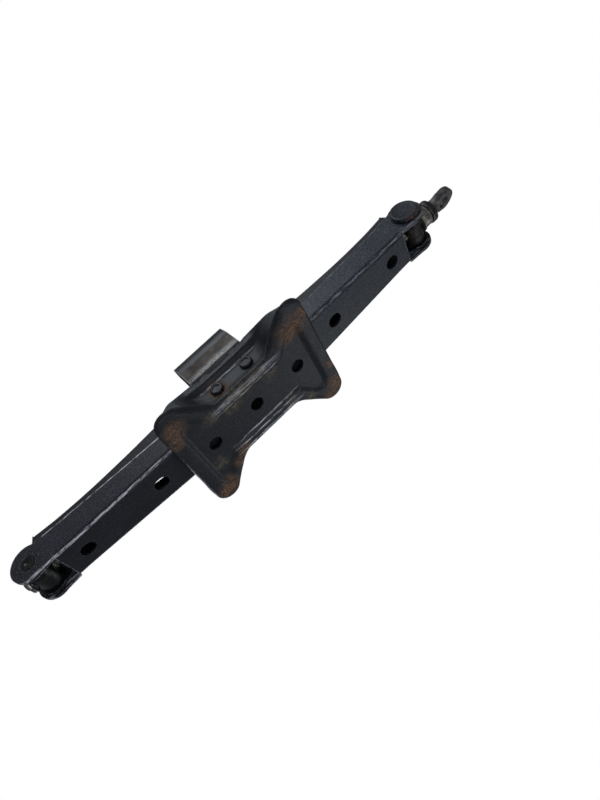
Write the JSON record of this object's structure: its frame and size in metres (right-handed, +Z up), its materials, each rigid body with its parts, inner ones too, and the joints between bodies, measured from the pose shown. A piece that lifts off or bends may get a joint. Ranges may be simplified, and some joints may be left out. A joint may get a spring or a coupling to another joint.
{
  "type": "scissor car jack",
  "caption": "Folding scissor jack for a car: pressed steel arms on a waisted base, a grooved saddle on top and a lead screw with a crank eye.",
  "frame": {"origin": "bottom centre of the whole jack's box when it is fully lowered; the middle of the base lies 18.15 mm towards -X of it", "axes": "+X along the lead screw towards the crank eye, +Y across the jack from the side with the pressed disc to the far side, +Z up from the base to the saddle"},
  "size_m": [0.4672, 0.1128, 0.08],
  "materials": {
    "base_paint": "semi-gloss black, chipped and rusty",
    "arm_paint": "semi-gloss black with worn bright bends",
    "saddle_steel": "black paint worn to brown bare steel on the sides",
    "rivet_black": "black",
    "trunnion_steel": "oily, partly rusty",
    "screw_steel": "oily rolled thread",
    "eye_steel": "dark forged skin",
    "bush_steel": "dull bare steel",
    "collar_black": "greasy black"
  },
  "bodies": {
    "base": {"base_plate": "base_paint", "base_rivet_near_left": "rivet_black", "base_rivet_near_right": "rivet_black", "base_rivet_far_left": "rivet_black", "base_rivet_far_right": "rivet_black"},
    "lower_arm_left": {"lower_arm_left": "arm_paint"},
    "lower_arm_right": {"lower_arm_right": "arm_paint"},
    "upper_arm_left": {"upper_arm_left": "arm_paint"},
    "upper_arm_right": {"upper_arm_right": "arm_paint"},
    "saddle": {"saddle": "saddle_steel", "saddle_rivet_near_left": "rivet_black", "saddle_rivet_near_right": "rivet_black", "saddle_rivet_far_left": "rivet_black", "saddle_rivet_far_right": "rivet_black"},
    "threaded_trunnion": {"threaded_trunnion": "trunnion_steel"},
    "bearing_trunnion": {"bearing_trunnion": "trunnion_steel", "trunnion_head_disc": "rivet_black", "thrust_washer": "bush_steel", "thrust_bush": "bush_steel"},
    "screw": {"lead_screw": "screw_steel", "screw_collar": "collar_black", "collar_pin": "screw_steel", "screw_eye": "eye_steel", "screw_end_stop": "screw_steel"}
  },
  "joints": [
    {"name": "lift", "type": "hinge", "parent": "base", "child": "lower_arm_left", "pos_m": [-0.03315, 0, 0.02], "axis": [0, 1, 0], "range_deg": [0, 56]},
    {"name": "lower_right_pivot", "type": "hinge", "parent": "base", "child": "lower_arm_right", "pos_m": [-0.00315, 0, 0.02], "axis": [0, 1, 0], "range_deg": [-56, 0]},
    {"name": "left_knee", "type": "hinge", "parent": "lower_arm_left", "child": "upper_arm_left", "pos_m": [-0.21815, 0, 0.0285], "axis": [0, 1, 0], "range_deg": [-112, 0]},
    {"name": "right_knee", "type": "hinge", "parent": "lower_arm_right", "child": "upper_arm_right", "pos_m": [0.18185, 0, 0.0285], "axis": [0, 1, 0], "range_deg": [0, 112]},
    {"name": "saddle_pivot", "type": "hinge", "parent": "upper_arm_left", "child": "saddle", "pos_m": [-0.03315, 0, 0.037], "axis": [0, 1, 0], "range_deg": [0, 56]},
    {"name": "threaded_trunnion_pivot", "type": "hinge", "parent": "lower_arm_left", "child": "threaded_trunnion", "pos_m": [-0.21815, 0, 0.0285], "axis": [0, 1, 0], "range_deg": [-56, 0]},
    {"name": "bearing_trunnion_pivot", "type": "hinge", "parent": "lower_arm_right", "child": "bearing_trunnion", "pos_m": [0.18185, 0, 0.0285], "axis": [0, 1, 0], "range_deg": [0, 56]},
    {"name": "screw_turn", "type": "hinge", "parent": "bearing_trunnion", "child": "screw", "pos_m": [0.18185, 0, 0.0285], "axis": [1, 0, 0], "continuous": true}
  ],
  "couplings": [
    {"joint": "lower_right_pivot", "follows": "lift", "ratio": -1},
    {"joint": "left_knee", "follows": "lift", "ratio": -2},
    {"joint": "right_knee", "follows": "lift", "ratio": 2},
    {"joint": "saddle_pivot", "follows": "lift", "ratio": 1},
    {"joint": "threaded_trunnion_pivot", "follows": "lift", "ratio": -1},
    {"joint": "bearing_trunnion_pivot", "follows": "lift", "ratio": 1}
  ]
}
